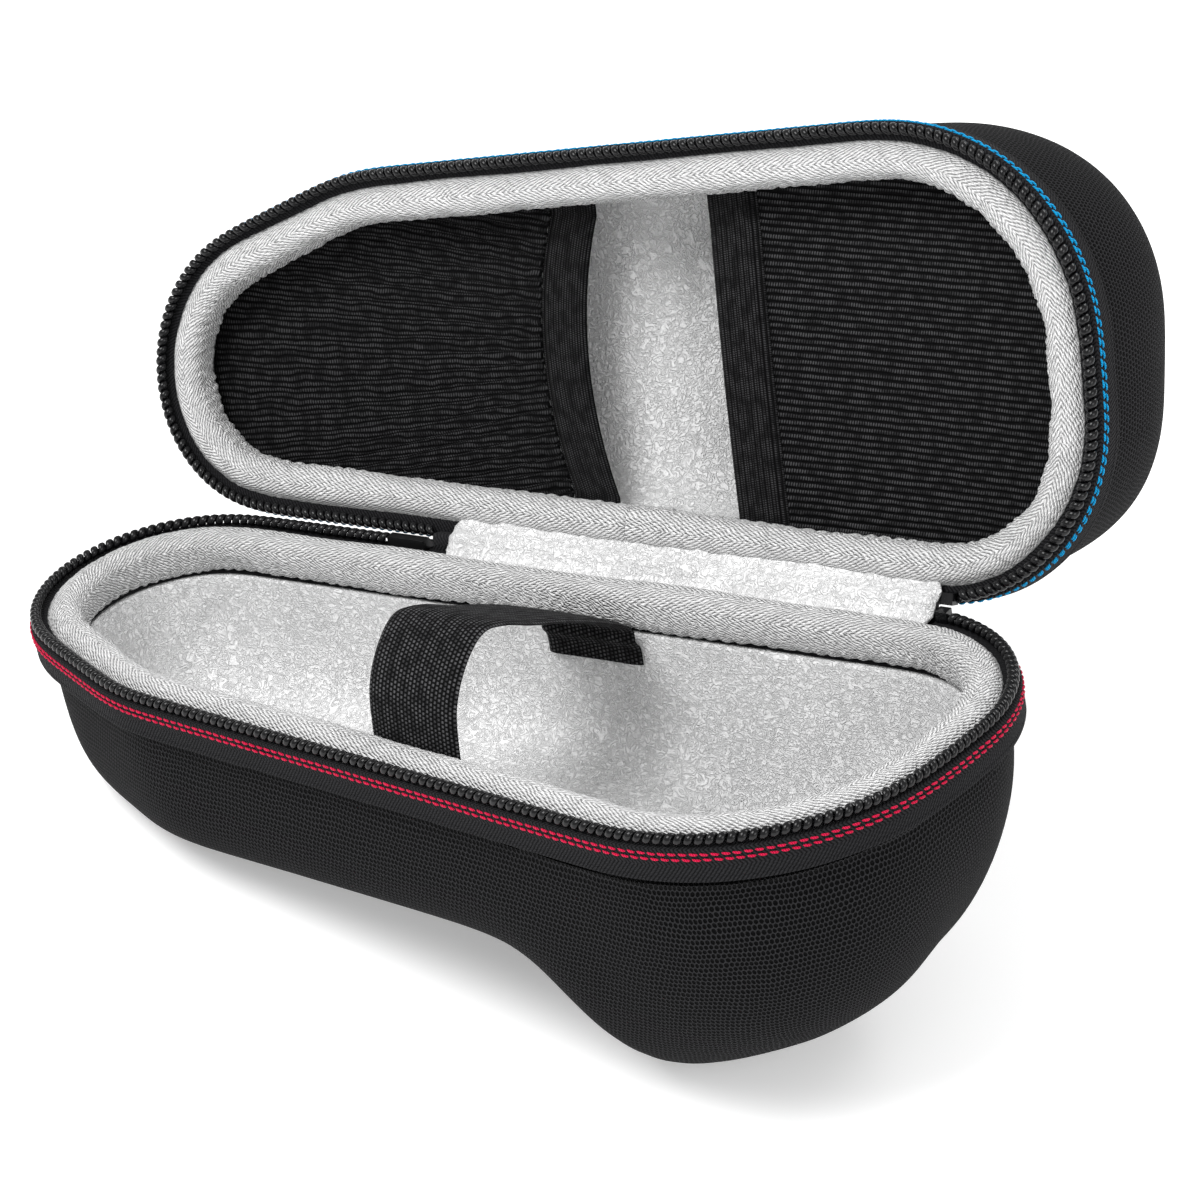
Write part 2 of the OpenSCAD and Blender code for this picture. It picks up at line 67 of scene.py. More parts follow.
def to_row(p, where="base"):
    # p: (..., 3) millimetres; lid points are given below the parting plane like the base's
    p = np.asarray(p, float)
    if where == "lid":
        y, z = p[..., 1], -p[..., 2]
        c, s = math.cos(OPEN), math.sin(OPEN)
        p = np.stack([p[..., 0], y * c + z * s, -y * s + z * c], -1)
    return p @ ROT.T * MM + POS


# Camera
# Angles in radians, distance and target in mm in the case frame, focal length in pixels
yaw, pitch, roll, dist = 0.6468, 0.4696, -0.1885, 881.8
TARGET = (13.52, -15.08, 0)
FOCAL_PIXELS = 4569.7
PHOTO_WIDTH = 1200
SENSOR_WIDTH = 36
back = np.array([math.sin(yaw) * math.cos(pitch), -math.cos(yaw) * math.cos(pitch), math.sin(pitch)])
side = np.cross(-back, [0, 0, 1])
side /= np.linalg.norm(side)
above = np.cross(side, -back)
right = math.cos(roll) * side + math.sin(roll) * above
up = np.cross(back, right)
eye = to_row(np.array(TARGET) + dist * back)
cam_data = bpy.data.cameras.new("camera")
cam = bpy.data.objects.new("camera", cam_data)
bpy.context.scene.collection.objects.link(cam)
pose = np.eye(4)
pose[:3, 0], pose[:3, 1], pose[:3, 2], pose[:3, 3] = ROT @ right, ROT @ up, ROT @ back, eye
cam.matrix_world = Matrix(pose.tolist())
cam_data.sensor_width = SENSOR_WIDTH
cam_data.lens = FOCAL_PIXELS / PHOTO_WIDTH * SENSOR_WIDTH
cam_data.clip_start = 0.05
cam_data.clip_end = 20
bpy.context.scene.camera = cam

# Zip line
# Circles of the outline as x, y, radius, all touching the back: wide end, wide half, narrow half, narrow end
TIP_W = (77.3, -32.7, 32.7)
BODY_W = (63.5, -44.5, 44.5)
BODY_N = (-54, -36, 36)
TIP_N = (-80, -30, 30)


def tangent(p, q):
    # Angle at which the outline leaves circle p for circle q
    dx, dy = q[0] - p[0], q[1] - p[1]
    a = math.atan2(dy, dx) - math.acos((p[2] - q[2]) / math.hypot(dx, dy))
    return a % (2 * math.pi)


def arc(c, a0, a1):
    n = max(2, int(c[2] * (a1 - a0) / 0.4))
    return [(c[0] + c[2] * math.cos(a), c[1] + c[2] * math.sin(a), math.cos(a), math.sin(a))
            for a in np.linspace(a0, a1, n)]


T1, T2, T3 = tangent(TIP_N, BODY_N), tangent(BODY_N, BODY_W), tangent(BODY_W, TIP_W)
line = (arc(TIP_W, 0, math.pi / 2) + arc(TIP_N, math.pi / 2, T1) + arc(BODY_N, T1, T2)
        + arc(BODY_W, T2, T3) + arc(TIP_W, T3, 2 * math.pi))
line = np.array(line + [line[0]])
S = np.r_[0, np.cumsum(np.hypot(*np.diff(line[:, :2], axis=0).T))]
# The curvature changes gently along the real rim: points 0.5 mm apart, averaged twice over 11 mm
STEP = 0.5
REACH = 11
even = np.arange(0, S[-1], STEP)
xy = np.stack([np.interp(even, S, line[:, k]) for k in (0, 1)], -1)
for _ in range(2):
    xy = sum(np.roll(xy, k, 0) for k in range(-REACH, REACH + 1)) / (2 * REACH + 1)
xy[:, 1] -= xy[:, 1].max()
xy = np.vstack([xy, xy[:1]])
S = np.r_[0, np.cumsum(np.hypot(*np.diff(xy, axis=0).T))]
along = np.roll(xy[:-1], -1, 0) - np.roll(xy[:-1], 1, 0)
along /= np.linalg.norm(along, axis=1, keepdims=True)
along = np.vstack([along, along[:1]])
line = np.stack([xy[:, 0], xy[:, 1], along[:, 1], -along[:, 0]], -1)
LOOP = S[-1]


def rim(s):
    # Points and outward directions at distances s along the zip line
    s = np.mod(s, LOOP)
    r = np.stack([np.interp(s, S, line[:, k]) for k in range(4)], -1)
    r[..., 2:] /= np.linalg.norm(r[..., 2:], axis=-1, keepdims=True)
    return r


BACK_START = TIP_W[2] * math.pi / 2


def s_back(x):
    # Distance along the zip line of a place on the back, right to left
    part = (S > BACK_START * 0.55) & (S < LOOP / 2) & (line[:, 1] > -12)
    return float(np.interp(-x, -line[part, 0], S[part]))


HINGE_S = (s_back(80), s_back(-32))


# Shell form
# Depths of the narrow and wide halves, floor slope, fall towards the wide end and its start, middle and
# run of the step between them, inset from the zip line, lean, and the roundness of walls, floor and ends
BASE = dict(dn=43.6, dw=74.65, slope=0.45, fall=1.5, fx=87.5, mid=38, run=5, inset=2.4, lean=0,
            n=(5.8, 3.5), m=(3.95, 2.26), ends=(2.06, 3.8))
LID = dict(dn=30, dw=54.3, slope=0, fall=0.56, fx=80, mid=20, run=10, inset=1.6, lean=6,
           n=(4, 5.7), m=(2.5, 3.6), ends=(2.9, 4))


SPINE_LEFT = -72
SLOPE_DATUM = 50
# Height share of the wall at which the rows change from even heights to even distances
TURN = 0.84


def skin(f, inset, top, ss, sv):
    # Grid of points on a shell skin: ss along the rim, sv from 0 at the wall's top to 1 on the spine
    r = rim(ss)
    b = r[:, :2] - (f["inset"] + inset) * r[:, 2:]
    sx = np.clip(b[:, 0], SPINE_LEFT, TIP_W[0])
    sy = TIP_N[1] + (TIP_W[1] - TIP_N[1]) * (sx - SPINE_LEFT) / (TIP_W[0] - SPINE_LEFT)
    dx = b[:, 0] - sx
    ux = dx / (np.hypot(dx, b[:, 1] - sy) + 1e-9)
    t = 1 / (1 + np.exp(-(b[:, 0] - f["mid"]) / f["run"]))
    n = f["n"][0] * (1 - t) + f["n"][1] * t
    end = np.where(ux > 0, f["ends"][0], f["ends"][1])
    n = n + (end - n) * ux ** 2
    mm = f["m"][0] * (1 - t) + f["m"][1] * t
    out = []
    for v in sv:
        # v in 0..1 is split between the wall (by height) and the floor (by distance)
        if v <= 0.5:
            h = (v * 2) ** 1.15 * TURN
            s = (1 - h ** mm) ** (1 / n)
        else:
            s = (1 - TURN ** mm) ** (1 / n) * (1 - (v - 0.5) * 2)
            h = (1 - s ** n) ** (1 / mm)
        x = sx + dx * s
        tt = 1 / (1 + np.exp(-(x - f["mid"]) / f["run"]))
        fall = f["fall"] * np.maximum(x - f["fx"], 0) ** 2 / 100
        d = f["dn"] * (1 - tt) + (f["dw"] - f["slope"] * (x - SLOPE_DATUM) - fall) * tt
        z = top + (d - inset - top) * h
        lean = f["lean"] * (z - top) / (max(f["dn"], f["dw"]) - top)
        out.append(np.stack([x, sy + (b[:, 1] - sy) * s - lean, -z], -1))
    return np.stack(out, 1)


# Mesh helpers
def mesh_object(name, verts, faces, uvs):
    me = bpy.data.meshes.new(name)
    me.from_pydata([tuple(v) for v in verts], [], [tuple(int(i) for i in f) for f in faces])
    layer = me.uv_layers.new(name="UVMap")
    layer.data.foreach_set("uv", np.asarray(uvs, np.float32).ravel())
    me.update()
    bm = bmesh.new()
    bm.from_mesh(me)
    bmesh.ops.recalc_face_normals(bm, faces=bm.faces)
    bm.to_mesh(me)
    bm.free()
    me.polygons.foreach_set("use_smooth", [True] * len(me.polygons))
    ob = bpy.data.objects.new(name, me)
    bpy.context.scene.collection.objects.link(ob)
    return ob


def grid_faces(nu, nv, cu, cv):
    # Quads of a grid, closed along u or v where asked, and the grid place of each corner
    iu = np.arange(nu if cu else nu - 1)
    iv = np.arange(nv if cv else nv - 1)
    a, b = np.meshgrid(iu, iv, indexing="ij")
    a1, b1 = (a + 1) % nu, (b + 1) % nv
    f = np.stack([a * nv + b, a1 * nv + b, a1 * nv + b1, a * nv + b1], -1).reshape(-1, 4)
    k = np.stack([np.stack([a, b], -1), np.stack([a + 1, b], -1),
                  np.stack([a + 1, b + 1], -1), np.stack([a, b + 1], -1)], -2).reshape(-1, 4, 2)
    return f, k


def grid(name, pts, u, v, where, cu=False, cv=False, caps=False):
    # pts (nu, nv, 3) in millimetres; u, v: texture distances in millimetres
    nu, nv = pts.shape[:2]
    p = to_row(pts, where)
    # Nothing reaches below the floor that the base stands on
    p[..., 2] = np.maximum(p[..., 2], 0.0)
    f, k = grid_faces(nu, nv, cu, cv)
    if np.ndim(u) == 1:
        u = np.repeat(np.asarray(u)[:, None], nv + 1, 1)
    if np.ndim(v) == 1:
        v = np.repeat(np.asarray(v)[None], nu + 1, 0)
    uv = np.stack([u[k[..., 0], k[..., 1]], v[k[..., 0], k[..., 1]]], -1)
    faces = [tuple(q) for q in f]
    uvl = uv.reshape(-1, 2)
    if caps and cv:
        for row in (0, nu - 1):
            faces.append(tuple(range(row * nv, row * nv + nv)))
            uvl = np.vstack([uvl, np.stack([np.full(nv, u[row, 0]), v[row, :nv]], -1)])
    return mesh_object(name, p.reshape(-1, 3), faces, uvl)


def sweep_pts(ss, prof):
    # prof: (..., 2) inset from the zip line and depth, shared or one per station
    r = rim(ss)
    prof = np.asarray(prof, float)
    if prof.ndim == 2:
        prof = np.repeat(prof[None], len(ss), 0)
    x = r[:, None, 0] - prof[..., 0] * r[:, None, 2]
    y = r[:, None, 1] - prof[..., 0] * r[:, None, 3]
    return np.stack([x, y, -prof[..., 1]], -1)


def run_length(prof):
    # Distances along a closed profile, back to its start
    return np.r_[0, np.cumsum(np.hypot(*np.diff(np.vstack([prof, prof[:1]]), axis=0).T))]


def waves(seed, ss, vv, count, span, across, power):
    # Smooth random field along the rim (periodic) and across the profile
    rng = np.random.default_rng(seed)
    out = np.zeros((len(ss), len(vv)))
    for _ in range(count):
        lam = rng.uniform(*span)
        mk = max(1, round(LOOP / lam))
        nk = rng.uniform(*across)
        ph = rng.uniform(0, 2 * math.pi)
        out += np.cos(2 * math.pi * (mk * ss[:, None] / LOOP + nk * vv[None]) + ph)
    return out / math.sqrt(count) * power


def solidify(ob, thick):
    md = ob.modifiers.new("thickness", "SOLIDIFY")
    md.thickness = thick * MM
    md.offset = -1
    bpy.context.view_layer.objects.active = ob
    ob.select_set(True)
    bpy.ops.object.modifier_apply(modifier=md.name)
    ob.select_set(False)


# Shader helpers
class Val:
    # One socket, with the operators that the materials use
    def __init__(self, g, sock):
        self.g, self.sock = g, sock

    def _m(self, op, *a):
        return self.g.math(op, *a)

    def __add__(self, o):
        return self._m("ADD", self, o)

    def __radd__(self, o):
        return self._m("ADD", o, self)

    def __sub__(self, o):
        return self._m("SUBTRACT", self, o)

    def __rsub__(self, o):
        return self._m("SUBTRACT", o, self)

    def __mul__(self, o):
        return self._m("MULTIPLY", self, o)

    def __rmul__(self, o):
        return self._m("MULTIPLY", o, self)

    def __truediv__(self, o):
        return self._m("DIVIDE", self, o)

    def __rtruediv__(self, o):
        return self._m("DIVIDE", o, self)

    def __pow__(self, o):
        return self._m("POWER", self, o)

    def __neg__(self):
        return self._m("MULTIPLY", self, -1.0)

    def __abs__(self):
        return self._m("ABSOLUTE", self)

    def __mod__(self, o):
        return self._m("FLOORED_MODULO", self, o)


class Graph:
    def __init__(self, name):
        self.mat = bpy.data.materials.new(name)
        self.mat.use_nodes = True
        self.nt = self.mat.node_tree
        self.bsdf = self.nt.nodes["Principled BSDF"]

    def put(self, node, key, value):
        if isinstance(value, Val):
            self.nt.links.new(value.sock, node.inputs[key])
        elif value is not None:
            node.inputs[key].default_value = value

    def node(self, kind, ins=None, out=0, **props):
        n = self.nt.nodes.new(kind)
        for k, v in props.items():
            setattr(n, k, v)
        for k, v in (ins or {}).items():
            self.put(n, k, v)
        return Val(self, n.outputs[out])

    def math(self, op, *a):
        return self.node("ShaderNodeMath", {i: x for i, x in enumerate(a)}, operation=op)

    def uv(self):
        tc = self.node("ShaderNodeTexCoord", out="UV")
        sep = self.nt.nodes.new("ShaderNodeSeparateXYZ")
        self.nt.links.new(tc.sock, sep.inputs[0])
        return Val(self, sep.outputs[0]), Val(self, sep.outputs[1])

    def obj(self):
        return self.node("ShaderNodeTexCoord", out="Object")

    def vec(self, x, y, z=0.0):
        return self.node("ShaderNodeCombineXYZ", {0: x, 1: y, 2: z})

    def noise(self, vec, scale, detail=2.0, rough=0.5, distort=0.0):
        return self.node("ShaderNodeTexNoise", {"Vector": vec, "Scale": scale, "Detail": detail,
                                                "Roughness": rough, "Distortion": distort})

    def clamp01(self, x):
        return self.math("MINIMUM", self.math("MAXIMUM", x, 0.0), 1.0)

    def step(self, x, a, b):
        return self.node("ShaderNodeMapRange", {"Value": x, "From Min": a, "From Max": b},
                         interpolation_type="SMOOTHSTEP")

    def ridge(self, x):
        # Rounded ridge 0..1 with period 1
        return self.math("SINE", (x % 1.0) * math.pi)

    def mix(self, fac, a, b):
        n = self.nt.nodes.new("ShaderNodeMix")
        n.data_type = "RGBA"
        self.put(n, 0, fac)
        for k, v in ((6, a), (7, b)):
            self.put(n, k, v if isinstance(v, Val) else (*v, 1.0))
        return Val(self, n.outputs[2])

    def finish(self, color, rough, height=None, dist=0.0002, strength=1.0, sheen=0.0, metal=0.0, spec=0.03):
        b = self.bsdf
        self.put(b, "Base Color", color if isinstance(color, Val) else (*color, 1.0))
        self.put(b, "Roughness", rough)
        self.put(b, "Metallic", metal)
        b.inputs["Sheen Weight"].default_value = sheen
        b.inputs["Sheen Roughness"].default_value = 0.4
        b.inputs["Specular IOR Level"].default_value = spec
        if height is not None:
            bump = self.node("ShaderNodeBump", {"Height": height, "Distance": dist, "Strength": strength})
            self.put(b, "Normal", bump)
        return self.mat


def cell_cover():
    # Black woven cover: rows of small oval cells, every second row shifted half a cell
    g = Graph("cover_fabric")
    u, v = g.uv()
    n = g.noise(g.vec(u * 0.09, v * 0.09), 1.0, 3.0)
    us, vs = u + (n - 0.5) * 2.2, v + (g.noise(g.vec(u * 0.08 + 7.0, v * 0.1), 1.0, 2.0) - 0.5) * 2.0
    row = vs / 1.16
    odd = g.math("FLOOR", row) % 2.0
    cu = (us / 0.98 + odd * 0.5) % 1.0 - 0.5
    cv = row % 1.0 - 0.5
    r = (cu * cu * 4.6 + cv * cv * 3.6)
    cell = g.clamp01(1.0 - r)
    fine = g.noise(g.vec(u * 2.2, v * 2.2), 1.0, 2.0)
    rim_ = g.step(r, 0.55, 1.0)
    tone = g.clamp01(rim_ * 0.75 + fine * 0.3 - 0.12)
    col = g.mix(tone, (0.0007, 0.0007, 0.0008), (0.03, 0.03, 0.032))
    height = cell * 0.5 + rim_ * 0.55 + fine * 0.25
    return g.finish(col, 0.62 + fine * 0.2, height, 0.00035, 0.9, sheen=0.01)


def herring(name, dark, light, slope, band, dist, sheen, rough, pitch_u=0.8):
    # Woven ribs that turn back at every band edge
    g = Graph(name)
    u, v = g.uv()
    fold = abs((v / band % 2.0) - 1.0) * band
    w = g.noise(g.vec(u * 0.4, v * 0.4), 1.0, 2.0)
    ph = (u + fold * slope + (w - 0.5) * 0.5) / pitch_u
    rib = g.ridge(ph)
    yarn = g.ridge((v + (w - 0.5) * 0.3) / (pitch_u * 0.8) + g.math("FLOOR", ph) * 0.5)
    fine = g.noise(g.vec(u * 3.0, v * 3.0), 1.0, 2.0)
    tone = g.clamp01(rib * 0.7 + yarn * 0.25 + fine * 0.25 - 0.15)
    col = g.mix(tone, dark, light)
    return g.finish(col, rough, rib * 0.8 + yarn * 0.35 + fine * 0.2, dist, 0.8, sheen=sheen)


def binding_cloth():
    # White binding tape: fine rows of stitches, chevrons, and folds, with painted shade darkening the tape
    # along the folds
    g = Graph("binding_fabric")
    u, v = g.uv()
    w = g.noise(g.vec(u * 0.25, v * 0.35), 1.0, 3.0)
    fold = abs(((v + 2.2) / 4.6 % 2.0) - 1.0) * 4.6
    ph = (u + fold * 1.8 + (w - 0.5) * 2.4) / 1.35
    rib = g.ridge(ph)
    yarn = g.ridge((v + (w - 0.5)) / 0.62 + g.math("FLOOR", ph) * 0.5)
    fold_and_shade = g.noise(g.vec(u * 0.55 + v * 0.5, v * 0.12), 1.6, 3.0, 0.6)
    fine = g.noise(g.vec(u * 2.5, v * 2.5), 1.0, 3.0)
    gap = (1.0 - rib) * (0.6 + yarn * 0.4)
    # Painted shade: the tape's colour is darkened where the fold noise is high; the same noise raises the
    # folds in the bump
    tone = g.clamp01(1.08 - gap * 0.85 - g.step(fold_and_shade, 0.45, 0.72) * 0.3 + (fine - 0.5) * 0.3)
    col = g.mix(tone, (0.3, 0.3, 0.305), (1.0, 1.0, 1.0))
    height = rib * 0.8 + yarn * 0.5 + fold_and_shade * 1.6 + fine * 0.2
    return g.finish(col, 0.8, height, 0.0007, 1.0, sheen=0.05)


def plush():
    # Pale brushed pile: short curly fibres and soft clouds
    g = Graph("lining_plush")
    o = g.obj()
    curl = g.noise(o, 620.0, 2.0, 0.55, 1.6)
    curl2 = g.noise(o, 1300.0, 2.0, 0.5, 1.0)
    line_ = 1.0 - g.clamp01(abs(curl - 0.5) * 9.0)
    cloud = g.noise(o, 70.0, 3.0)
    tone = g.clamp01(0.84 - line_ * 0.26 + (cloud - 0.5) * 0.55 + (curl2 - 0.5) * 0.35)
    col = g.mix(tone, (0.5, 0.5, 0.505), (0.98, 0.98, 0.98))
    return g.finish(col, 0.95, (1.0 - line_) * 0.6 + curl2 * 0.7, 0.0005, 0.9, sheen=0.15)


def knit(name, row, dot, duty, wobble, rib=0.0, dim=0.05):
    # Black knit: rows of pale dots along u, rows stacked along v
    g = Graph(name)
    u, v = g.uv()
    w = g.noise(g.vec(u * 0.12, v * 0.3), 1.0, 3.0)
    vv = v + (w - 0.5) * wobble
    r = vv / row
    line_ = g.ridge(r)
    d = g.ridge(u / dot + g.math("FLOOR", r) * 0.37)
    light = g.step(line_, duty, 1.0) * g.step(d, 0.35, 0.95)
    patch = g.step(g.noise(g.vec(u * 0.35, v * 0.5), 1.0, 3.0), 0.36, 0.62)
    fine = g.noise(g.vec(u * 3.0, v * 3.0), 1.0, 2.0)
    tone = g.clamp01(light * (0.35 + patch * 0.75) + (fine - 0.4) * 0.1)
    col = g.mix(tone, (0.0022, 0.0022, 0.0024), (dim, dim, dim * 1.04))
    height = line_ * 0.8 + d * line_ * 0.5 + fine * 0.2
    if rib:
        height = height + g.ridge(v / rib) * 1.6
    return g.finish(col, 0.7, height, 0.00025, 0.9, sheen=0.02)


def thread(name, dark, light):
    g = Graph(name)
    u, v = g.uv()
    twist = g.ridge((u * 2.4 + v * 1.4))
    n = g.noise(g.obj(), 900.0, 2.0)
    col = g.mix(g.clamp01(twist * 0.7 + n * 0.4), dark, light)
    return g.finish(col, 0.45, twist + n * 0.3, 0.00012, 0.8, sheen=0.1)


def nylon():
    g = Graph("coil_nylon")
    o = g.obj()
    n = g.noise(o, 500.0, 3.0)
    dust = g.step(g.noise(o, 160.0, 3.0), 0.5, 0.8)
    col = g.mix(g.clamp01(dust * 0.5 + n * 0.2), (0.0025, 0.0025, 0.003), (0.016, 0.016, 0.017))
    return g.finish(col, 0.12 + n * 0.1, n, 0.00003, 0.4, spec=0.3)


def foam_mat():
    g = Graph("foam")
    o = g.obj()
    n = g.noise(o, 1100.0, 3.0)
    col = g.mix(n, (0.012, 0.012, 0.013), (0.03, 0.03, 0.032))
    return g.finish(col, 0.85, n, 0.0002, 0.6)


def lacquer():
    g = Graph("slider_metal")
    o = g.obj()
    n = g.noise(o, 300.0, 4.0)
    wear = g.step(g.noise(o, 90.0, 5.0, 0.7), 0.62, 0.72)
    col = g.mix(wear, (0.014, 0.014, 0.015), (0.16, 0.155, 0.15))
    return g.finish(col, 0.28 + n * 0.25, n, 0.00005, 0.4, metal=0.85, spec=0.5)


MAT = {
    "cover": cell_cover(),
    "tape": herring("tape_fabric", (0.0007, 0.0007, 0.0008), (0.026, 0.026, 0.028),
                    0.75, 3.4, 0.00028, 0.01, 0.68),
    "hinge": herring("hinge_fabric", (0.0025, 0.0025, 0.0028), (0.03, 0.03, 0.032),
                     0.8, 2.6, 0.0002, 0.03, 0.7),
    "binding": binding_cloth(),
    "plush": plush(),
    "gathered": knit("gathered_fabric", 0.74, 0.62, 0.35, 1.3, rib=2.3, dim=0.045),
    "ribbed": knit("knit_fabric", 1.32, 0.56, 0.45, 0.7, dim=0.06),
    "band": knit("band_elastic", 0.62, 0.44, 0.3, 0.15, dim=0.05),
    "strap": knit("strap_elastic", 0.92, 0.86, 0.4, 0.2, dim=0.085),
    "red": thread("red_thread", (0.2, 0.002, 0.018), (0.72, 0.012, 0.07)),
    "blue": thread("blue_thread", (0.002, 0.1, 0.28), (0.005, 0.4, 0.78)),
    "coil": nylon(),
    "foam": foam_mat(),
    "metal": lacquer(),
}


def give(ob, mat):
    ob.data.materials.clear()
    ob.data.materials.append(MAT[mat])


def take_place(ob, mat, node, body):
    # Finish, the CAD node that the piece stands for, its material slot and the body that carries it
    give(ob, mat)
    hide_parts(node)
    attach(ob, body)


# Covers, foam and linings
# Heights in mm below the parting plane: foot of the zip band, and the ledge under the rim roll
BAND_FOOT = 9.6
LEDGE = 10.2
COVER = 0.75
ROWS = np.r_[np.linspace(0, 0.5, 27), np.linspace(0.5, 1, 17)[1:]]


def cup(name, f, where, in0, top0, in1, top1, n, wobble=0.0, seed=0, lead=()):
    # Closed cup between an outer and an inner skin; lead: rim steps between them (inset, depth)
    ss = np.linspace(0, LOOP, n + 1)[:-1]
    sv = ROWS
    a = skin(f, in0, top0, ss, sv)
    b = skin(f, in1, top1, ss, sv)
    if wobble:
        w = waves(seed, ss, sv, 14, (7, 26), (-5, 5), wobble)
        w *= np.minimum(1, sv * 14)[None] * np.minimum(1, (1 - sv) * 6)[None]
        d = b - np.array([0, -36, 0])[None, None]
        d[..., 2] *= 0.35
        b = b - d / np.linalg.norm(d, axis=-1, keepdims=True) * w[..., None]
    mid = sweep_pts(ss, np.array(lead, float)) if len(lead) else np.zeros((len(ss), 0, 3))
    pts = np.concatenate([a[:, ::-1], mid, b], 1)
    d = np.linalg.norm(np.diff(pts, axis=1), axis=-1)
    v = np.concatenate([np.zeros((len(ss), 1)), np.cumsum(d, 1)], 1)
    k0 = len(sv) - 1
    v = v - v[:, k0:k0 + 1]
    v = np.vstack([v, v[:1]])
    u = np.r_[ss, LOOP]
    uv_u = np.repeat(u[:, None], pts.shape[1], 1)
    ob = grid(name, pts, uv_u, v, where, cu=True)
    bm = bmesh.new()
    bm.from_mesh(ob.data)
    bmesh.ops.remove_doubles(bm, verts=bm.verts, dist=0.00002)
    bmesh.ops.recalc_face_normals(bm, faces=bm.faces)
    bm.to_mesh(ob.data)
    bm.free()
    return ob


def shell(side_, f, foam, body):
    o = cup(side_ + "_cover", f, side_, 0, BAND_FOOT, COVER, BAND_FOOT, n=420)
    take_place(o, "cover", side_ + "_outer_cover", body)
    foam_start = COVER + 0.1
    wall = foam_start + foam
    o = cup(side_ + "_foam", f, side_, foam_start, BAND_FOOT, wall - 0.1, LEDGE, n=240,
            lead=((0.95, BAND_FOOT - 0.05), (0.95, 3.15), (4.75, 3.15), (4.75, LEDGE)))
    take_place(o, "foam", side_ + "_foam_shell", body)
    o = cup(side_ + "_plush", f, side_, wall, LEDGE, wall + 1.1, LEDGE, n=420, wobble=0.16, seed=3)
    take_place(o, "plush", side_ + "_lining", body)


shell("base", BASE, 5.0, "base")
shell("lid", LID, 3.0, "lid")


# Tape, coil, stitches and rim roll
def open_run(s0, s1, step):
    n = int(round((s1 - s0) / step))
    return np.linspace(s0, s1, n + 1)


def tape(side_, body):
    # Inset and depth round the band's section, with its hem groove near the foot
    prof = [(-0.42, 9.55), (-0.5, 9.2), (-0.5, 8.6), (-0.42, 8.45), (-0.5, 8.3), (-0.5, 6.5), (-0.5, 4.5),
            (-0.5, 3.3), (-0.3, 2.86), (0.2, 2.75), (2.4, 2.75), (4.7, 2.75), (4.7, 3.05), (0.86, 3.05),
            (0.86, 9.5), (0.3, 9.6)]
    prof = np.array(prof)
    ss = open_run(HINGE_S[1], HINGE_S[0] + LOOP, 1.1)
    seed = 11 if side_ == "base" else 12
    ripple = waves(seed, ss, np.linspace(0, 1, len(prof)), 6, (14, 50), (-0.4, 0.4), 0.05)
    # Only the outer face of the band ripples
    outer = 8
    pr = np.repeat(prof[None], len(ss), 0)
    pr[:, :outer, 0] -= ripple[:, :outer]
    pts = sweep_pts(ss, pr)
    v = run_length(prof)
    u = np.r_[ss, ss[-1] + 1]
    o = grid(side_ + "_tape", pts, u, v, side_, cv=True, caps=True)
    take_place(o, "tape", side_ + "_zip_tape", body)


# Pitch of the coil's teeth in mm, and the coil's middle as inset and depth
PITCH = 1.95
COIL_INSET = 0.9
COIL_DEPTH = 1.45


def coil(side_, body, start_x):
    s0, s1 = s_back(start_x), s_back(82) + LOOP
    turns = int((s1 - s0) / PITCH)
    per, sides_ = 16, 8
    t = np.linspace(0, turns, turns * per + 1)
    ss = s0 + 0.2 + t * PITCH
    r = rim(ss)
    out = np.stack([r[:, 2], r[:, 3], 0 * ss], -1)
    upv = np.array([0, 0, 1.0])
    ph = 2 * math.pi * t
    rh = 0.66
    rad = np.cos(ph)[:, None] * out + np.sin(ph)[:, None] * upv
    across = r[:, :2] - COIL_INSET * r[:, 2:]
    middle = np.stack([across[:, 0], across[:, 1], 0 * ss - COIL_DEPTH], -1)
    c = middle + rh * rad
    tan = np.gradient(c, axis=0)
    tan /= np.linalg.norm(tan, axis=1, keepdims=True)
    bi = np.cross(tan, rad)
    psi = np.linspace(0, 2 * math.pi, sides_ + 1)[:-1]
    pts = (c[:, None] + 0.54 * np.cos(psi)[None, :, None] * rad[:, None]
           + 0.8 * np.sin(psi)[None, :, None] * bi[:, None])
    u = np.r_[ss, ss[-1] + 1]
    o = grid(side_ + "_coil", pts, u, np.linspace(0, 4, sides_ + 1), side_, cv=True, caps=True)
    take_place(o, "coil", side_ + "_zip_coil", body)


